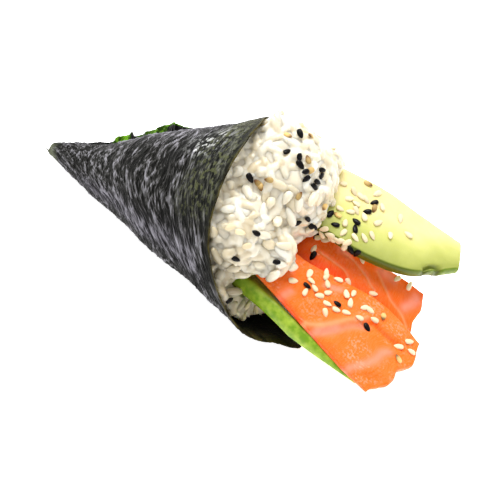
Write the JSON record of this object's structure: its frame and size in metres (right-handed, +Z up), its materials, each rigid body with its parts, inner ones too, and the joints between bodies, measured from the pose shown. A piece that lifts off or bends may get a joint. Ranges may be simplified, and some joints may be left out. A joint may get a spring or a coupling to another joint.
{
  "type": "temaki hand roll",
  "caption": "Cone of dried seaweed lying on its side, filled with rice, with slices of salmon and avocado reaching out of its mouth.",
  "frame": {"origin": "on the table under the middle of the whole roll's length and width", "axes": "+X from the cone's tip out of its mouth, +Y to the side of the long-reaching avocado slice, +Z up"},
  "size_m": [0.1682, 0.077, 0.0684],
  "materials": {
    "nori": "dry crinkled seaweed sheet with a faint sheen",
    "rice": "moist cooked rice",
    "salmon": "moist raw fish with pale fat lines",
    "avocado": "smooth cut fruit, yellow to green",
    "seeds": "toasted and black sesame seeds"
  },
  "bodies": {
    "root": {"nori_cone": "nori", "rice_heap": "rice", "salmon_slice_front": "salmon", "salmon_slice_back": "salmon", "avocado_slice_near": "avocado", "avocado_slice_far": "avocado"}
  },
  "joints": []
}
